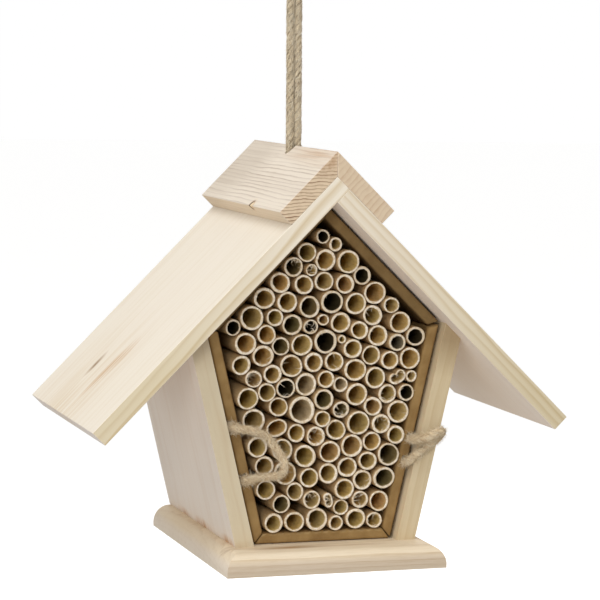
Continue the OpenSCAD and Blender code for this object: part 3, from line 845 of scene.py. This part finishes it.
def make_tray():
    """The floor, sides and slopes between the corners of their CAD panels, and the back card."""
    look = card("tray_card")
    # A darker copy of the card for the slopes: painted shade from the roof above them.
    shaded_slope_look = card("tray_slope_card_shaded", 0.6)
    low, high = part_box("tray_floor")
    y0, y1 = low.y, high.y
    corners = sorted(front_outline("tray_floor"), key=lambda p: p[1])
    bottom_out = sorted(corners[:2])
    bottom_in = sorted(corners[2:])
    slope = sorted(front_outline("tray_right_slope"))
    top_in, top_out = sorted(slope[:2], key=lambda p: p[1])
    eave_in, eave_out = slope[2], slope[3]

    def channel(legs):
        """Where the twine's channels lie along a side, and half their width."""
        out = np.array(bottom_out[1])
        way = np.array(eave_out) - out
        way = way / np.linalg.norm(way)
        mouths = [np.array((side_x(TRAY_REACH, z), z)) * MM for z in legs]
        return [(float((mouth - out).dot(way)), CHANNEL_HALF) for mouth in mouths]

    panel("tray_floor_fold", "tray_floor", bottom_out, bottom_in, y0, y1, look, 1, gaps=(0.5, 0.5),
          flutes=0.7)
    sides = ((-1, "left", LEFT_LEGS, (0.5, 0.6)), (1, "right", RIGHT_LEGS, (0.5, 1.2)))
    for side, node, legs, gaps in sides:
        out_foot, in_foot, out_eave, in_eave, out_top, in_top = [
            (side * x, z) for x, z in (bottom_out[1], bottom_in[1], eave_out, eave_in, top_out, top_in)]
        panel(f"tray_{node}_side_fold", f"tray_{node}_side", (out_foot, out_eave), (in_foot, in_eave),
              y0, y1, look, 3 + side, channels=channel(legs), gaps=gaps)
        panel(f"tray_{node}_slope_fold", f"tray_{node}_slope", (out_top, out_eave), (in_top, in_eave),
              y0, y1, shaded_slope_look, 8 + side, gaps=(0.2, 1.0 if side > 0 else 0.5),
              curl=-0.8 if side > 0 else 0.0)
    make_back_card(look, bottom_in, eave_in, top_in)


BACK_ROWS = 24
BACK_COLUMNS = 20
BACK_WAVE = 0.12 * MM


def make_back_card(look, bottom_in, eave_in, top_in):
    """The back card, with the slight waves of thick kraft board."""
    low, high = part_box("tray_back")
    wide = BACK_COLUMNS + 1
    shell = Shell(("worn", "lip"))
    for y in (low.y, high.y):
        points = []
        for i in range(BACK_ROWS + 1):
            z = low.z + (high.z - low.z) * i / BACK_ROWS
            half = min(np.interp(z, [bottom_in[1][1], eave_in[1]], [bottom_in[1][0], eave_in[0]]),
                       max(0.0002, top_in[1] - z))
            for k in range(wide):
                x = -half + 2 * half * k / BACK_COLUMNS
                wave = BACK_WAVE * math.sin(90 * x + 3) * math.sin(70 * z)
                points.append((x, y + (wave - BACK_WAVE if y == high.y else 0.0), z))
        faces = [(i * wide + k, i * wide + k + 1, (i + 1) * wide + k + 1, (i + 1) * wide + k)
                 for i in range(BACK_ROWS) for k in range(BACK_COLUMNS)]
        shell.add(points, [f[::-1] for f in faces] if y == high.y else faces)
    count = (BACK_ROWS + 1) * wide
    rim = ([k for k in range(wide)]
           + [i * wide + BACK_COLUMNS for i in range(1, BACK_ROWS + 1)]
           + [BACK_ROWS * wide + k for k in range(BACK_COLUMNS - 1, -1, -1)]
           + [i * wide for i in range(BACK_ROWS - 1, 0, -1)])
    shell.faces += [(a, a + count, b + count, b) for a, b in zip(rim, rim[1:] + rim[:1])]
    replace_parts(shell.build("tray_back_card", "tray", "tray_card", look, smooth=False), "tray_back")


make_tray()


# ---- reeds

# Places [x, z] in millimetres of reeds that differ from the rest.
# Bores painted near black or dim: painted shade deep in the hole.
BLACK_SHADED_BORES = [(18, 130), (-1.2, 148), (3, 119), (0.7, 101), (43, 102), (39.5, 77), (-42, 108.5),
                (-17.8, 80.4), (-6.6, 108)]
DIM_SHADED_BORES = [(-20, 99), (29, 37.7), (30.9, 49.4), (-15, 135), (34.5, 99.6), (-8.5, 117), (-14, 109),
              (-0.5, 75), (-20, 28), (8, 70)]
HAIRY = [(-6.6, 108), (-15, 135), (-6.2, 133.7), (28.3, 62.8), (17.8, 28.3), (-5.2, 29.3), (24.5, 18.8),
         (-33, 85), (8, 70), (2, 29), (34.5, 84.5), (-4, 58.5)]
SLIVERS = [(-33, 66), (25, 112), (5, 92), (36.3, 67.9), (-17.8, 80.4), (-15, 90), (30.5, 76), (-29, 95),
           (20, 37)]
PALE_INSIDE = [(-10.5, 70.5), (34.5, 96), (6, 79), (-6, 84)]
# Squashed reeds: place, how flat, direction of the long axis, how deep one side is pushed in.
SQUASHED = [(-21.8, 62.2, 0.22, 0.35, 0.0), (34.7, 84.6, 0.3, 0.5, 0.3), (2, 29, 0.38, 1.8, 0.1)]


def reed_spots(node):
    """Centre, outer and bore radius, front and back of every reed of a CAD node."""
    mesh = bmesh.new()
    mesh.from_mesh(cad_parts[node].data)
    bmesh.ops.remove_doubles(mesh, verts=mesh.verts, dist=1e-6)
    todo = set(mesh.verts)
    spots = []
    while todo:
        stack = [todo.pop()]
        group = []
        while stack:
            v = stack.pop()
            group.append(v.co.copy())
            for e in v.link_edges:
                w = e.other_vert(v)
                if w in todo:
                    todo.remove(w)
                    stack.append(w)
        co = np.array(group)
        low, high = co.min(0), co.max(0)
        middle = (low + high) / 2
        away = np.hypot(co[:, 0] - middle[0], co[:, 2] - middle[2])
        spots.append((middle[0], middle[2], away.max(), away.min(), low[1], high[1]))
    mesh.free()
    return sorted(spots, key=lambda s: (round(s[1], 3), round(s[0], 3)))


def nearest_marks(all_spots, places):
    """The indexes of the reeds that lie nearest to these places."""
    return {min(range(len(all_spots)),
                key=lambda i: math.hypot(all_spots[i][1][0] / MM - x, all_spots[i][1][1] / MM - z))
            for x, z in places}


AROUND = 44
# Depths behind the rim of the rings outside and in the bore, and one beyond any reed's back.
OUTER_STOPS = (0.12, 0.5, 1.6, 5, 14, 34, 62)
INNER_STOPS = (0.45, 1.2, 2.6, 5, 9, 16, 28, 48, 74)
BEYOND = 200


class Reed:
    """One cut reed: a rough tube with a jagged rim, whiskers and slivers."""

    def __init__(self, spot, rng, black, dim, pale, squashed):
        self.cx, self.cz, self.radius, self.bore, self.y0, self.y1 = spot
        self.wall = (self.radius - self.bore) * rng.uniform(0.95, 1.35)
        squashed = squashed or (rng.uniform(0.0, 0.06), rng.uniform(0, math.pi), 0.0)
        self.flat, self.flat_at, self.pinch = squashed
        self.swell = [rng.uniform(0, 6.28) for _ in range(6)]
        self.tilt, self.tilt_at = rng.uniform(0, 0.07), rng.uniform(0, 6.28)
        self.thick_at = rng.uniform(0, 6.28)
        self.jag = [[rng.uniform(-1, 1) for _ in range(AROUND)] for _ in range(5)]
        self.tone = 1.0 if pale else 0.85 * rng.random()
        # dark is painted shade in the bore: most in the listed black bores, less in the dim ones, a little
        # at random in the rest.
        self.dark = 0.93 if black else 0.6 if dim else rng.uniform(0.0, 0.16)
        self.points, self.cut, self.inner = [], [], []

    def outer(self, a, y=0):
        """The outer radius in direction a, this far behind the rim."""
        off = (a - self.flat_at) % (2 * math.pi) - math.pi / 2
        r = self.radius * (1 - self.flat * 0.5 * (1 - math.cos(2 * (a - self.flat_at)))
                           - self.pinch * math.exp(-(off / 0.5) ** 2))
        return r * (1 - 0.006 * (1 + math.sin(3 * a + self.swell[0] + 90 * y))
                    - 0.004 * (1 + math.sin(7 * a + self.swell[1])))

    def width(self, a):
        """The wall's thickness in direction a."""
        return self.wall * (1 + 0.14 * math.sin(a + self.thick_at) + 0.07 * math.sin(3 * a + self.swell[2])
                            + 0.04 * math.sin(8 * a + self.swell[3]))

    def ring(self, depth, make, cut, inner):
        """A ring of points. make gives the radius and the shift along Y in a direction."""
        for k in range(AROUND):
            a = 2 * math.pi * k / AROUND
            r, dy = make(a, k)
            front = self.y0 + self.tilt * self.radius * math.cos(a - self.tilt_at)
            y = min(front + (depth * MM) + dy, self.y1)
            self.points.append((self.cx + r * math.cos(a), y, self.cz + r * math.sin(a)))
            self.cut.append(cut)
            self.inner.append(inner)

    def rim(self):
        """The jagged cut face, from the outer edge to the bore."""
        outer, width, jag = self.outer, self.width, self.jag
        self.ring(0, lambda a, k: (outer(a) - 0.16 * MM + 0.09 * MM * jag[0][k],
                                   0.14 * MM * jag[1][k]), 1.0, 0.0)
        self.ring(0, lambda a, k: (outer(a) - width(a) * 0.42, 0.2 * MM * jag[2][k] - 0.04 * MM), 1.0, 0.0)
        self.ring(0, lambda a, k: (outer(a) - width(a) * 0.72, 0.2 * MM * jag[3][k] - 0.02 * MM), 1.0, 0.0)
        self.ring(0.1, lambda a, k: (outer(a) - width(a) * 0.95 + 0.07 * MM * jag[4][k],
                                     0.1 * MM * jag[3][k]), 1.0, 0.0)

    def tube(self, shell):
        """The outside from the back to the front, the rim, and the bore back again."""
        outer, width = self.outer, self.width
        for depth in (BEYOND,) + OUTER_STOPS[::-1]:
            inset = 0.05 * MM if depth < 0.2 else 0
            rough = 0.1 * MM if depth < 1 else 0
            self.ring(depth, lambda a, k: (outer(a, depth * MM) - inset, rough * self.jag[0][k]),
                      0.75 if depth < 0.2 else 0.0, 0.0)
        self.rim()
        for depth in INNER_STOPS + (BEYOND,):
            share = 1.0 if depth > 1 else 0.55
            self.ring(depth, lambda a, k: (outer(a) - width(a) * (1.0 + 0.02 * math.sin(5 * a + depth)), 0),
                      1.0 - share, share)
        rings = len(self.points) // AROUND
        faces = [(i * AROUND + k, (i + 1) % rings * AROUND + k,
                  (i + 1) % rings * AROUND + (k + 1) % AROUND, i * AROUND + (k + 1) % AROUND)
                 for i in range(rings) for k in range(AROUND)]
        shell.add(self.points, faces, cut=self.cut, inner=self.inner, tone=self.tone, dark=self.dark)

    def place(self, a, r, depth):
        return np.array((self.cx + r * math.cos(a), self.y0 + depth, self.cz + r * math.sin(a)))

    def whiskers(self, shell, rng):
        """Short fibres that stand off the rim's outer edge."""
        for _ in range(rng.randint(3, 9)):
            a = rng.uniform(0, 6.28)
            p = self.place(a, self.outer(a), 0.1 * MM)
            way = np.array((math.cos(a) * rng.uniform(-0.2, 1), rng.uniform(-1, -0.2),
                            math.sin(a) * rng.uniform(-0.2, 1)))
            way *= rng.uniform(0.4, 1.1) * MM / np.linalg.norm(way)
            hair(shell, [p - 0.2 * way, p + 0.4 * way, p + way], rng.uniform(0.05, 0.09) * MM, cut=0.8,
                 tone=self.tone)

    def slivers(self, shell, rng, hairy, split):
        """Torn fibres that curl across the bore, more and longer in a hairy or split reed."""
        long = hairy or split
        count = rng.randint(8, 13) if hairy else rng.randint(3, 5) if split else rng.choice((0, 1, 1, 2, 3))
        for _ in range(count):
            a = rng.uniform(0, 6.28)
            p = self.place(a, self.outer(a) - self.width(a) * rng.uniform(0.75, 1.0), 0.2 * MM)
            inward = np.array((-math.cos(a), 0.0, -math.sin(a)))
            swirl = np.array((-math.sin(a), 0.0, math.cos(a))) * rng.uniform(-0.9, 0.9)
            way = inward * rng.uniform(0.5, 1) + swirl + np.array((0, rng.uniform(-0.7, 0.2), 0))
            way /= np.linalg.norm(way)
            reach = min((rng.uniform(1.2, 3.4) if long else rng.uniform(0.5, 1.4)) * MM, 1.5 * self.bore)
            bend = np.array([rng.uniform(-0.3, 0.3) for _ in range(3)])
            line = bent_line(p, way, reach, 4, lambda w: w + bend)
            hair(shell, line, rng.uniform(0.1, 0.24 if long else 0.14) * MM, cut=1.0, tone=self.tone)


def make_reeds():
    """A detailed reed for every one of the CAD model's, in the same nodes."""
    look = reed_look()
    nodes = sorted(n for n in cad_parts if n.startswith("reeds_"))
    spots = [(node, spot) for node in nodes for spot in reed_spots(node)]
    black, dim, hairy, split, pale = [nearest_marks(spots, places) for places in (
        BLACK_SHADED_BORES, DIM_SHADED_BORES, HAIRY, SLIVERS, PALE_INSIDE)]
    squashed = {}
    for x, z, *how in SQUASHED:
        squashed[nearest_marks(spots, [(x, z)]).pop()] = how
    rng = random.Random(2024)
    shells = {node: Shell(("cut", "inner", "tone", "dark")) for node in nodes}
    for i, (node, spot) in enumerate(spots):
        one = Reed(spot, rng, i in black, i in dim, i in pale, squashed.get(i))
        one.tube(shells[node])
        one.whiskers(shells[node], rng)
        one.slivers(shells[node], rng, i in hairy, i in split)
    for node, shell in shells.items():
        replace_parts(shell.build(node.replace("reeds", "cut_reeds"), "tray", "cut_reed", look), node)


make_reeds()


# ---- stage and light

def plain(name, tint, emit):
    """An even colour that also glows white."""
    look = Look(name, roughness=0.9, specular=0.1)
    look.done(tint)
    look.shader.inputs["Emission Color"].default_value = (1, 1, 1, 1)
    look.shader.inputs["Emission Strength"].default_value = emit
    return look.material


def make_stage():
    """A white floor well below the hanging house and a white dome, which only the camera sees."""
    bpy.ops.mesh.primitive_circle_add(vertices=96, radius=14, fill_type="NGON", location=(0, 0, -0.32))
    floor = bpy.context.object
    floor.name = "floor"
    floor.data.materials.append(plain("floor_white", (0.9, 0.9, 0.9, 1), 0.5))
    bpy.ops.mesh.primitive_uv_sphere_add(segments=64, ring_count=32, radius=13.5, location=(0, 0, 0))
    dome = bpy.context.object
    dome.name = "backdrop"
    dome.data.materials.append(plain("backdrop_white", (0, 0, 0, 1), 1.0))
    for obj in (floor, dome):
        for ray in ("diffuse", "glossy", "transmission", "shadow"):
            setattr(obj, "visible_" + ray, False)


def area_light(name, at, target, size, power):
    data = bpy.data.lights.new(name, "AREA")
    data.shape = "DISK"
    data.size = size
    data.energy = power
    light = bpy.data.objects.new(name, data)
    bpy.context.scene.collection.objects.link(light)
    light.location = at
    light.rotation_euler = (Vector(target) - Vector(at)).to_track_quat("-Z", "Y").to_euler()


def make_light():
    world = bpy.data.worlds.new("world")
    bpy.context.scene.world = world
    world.use_nodes = True
    back = world.node_tree.nodes["Background"]
    back.inputs["Color"].default_value = (1.0, 0.995, 0.985, 1)
    back.inputs["Strength"].default_value = 0.55
    area_light("key", (-0.75, -0.5, 1.85), (0, 0, 0.1), 1.1, 15)
    area_light("fill", (-0.8, -1.8, 0.75), (0, 0, 0.08), 0.6, 9)
    area_light("bounce", (-0.8, -1.2, -0.15), (0, 0, 0.08), 0.8, 3)
    area_light("back", (0.5, 1.9, 0.7), (0, 0, 0.1), 0.7, 6)
    bpy.context.scene.view_settings.view_transform = "Standard"


make_stage()
make_light()
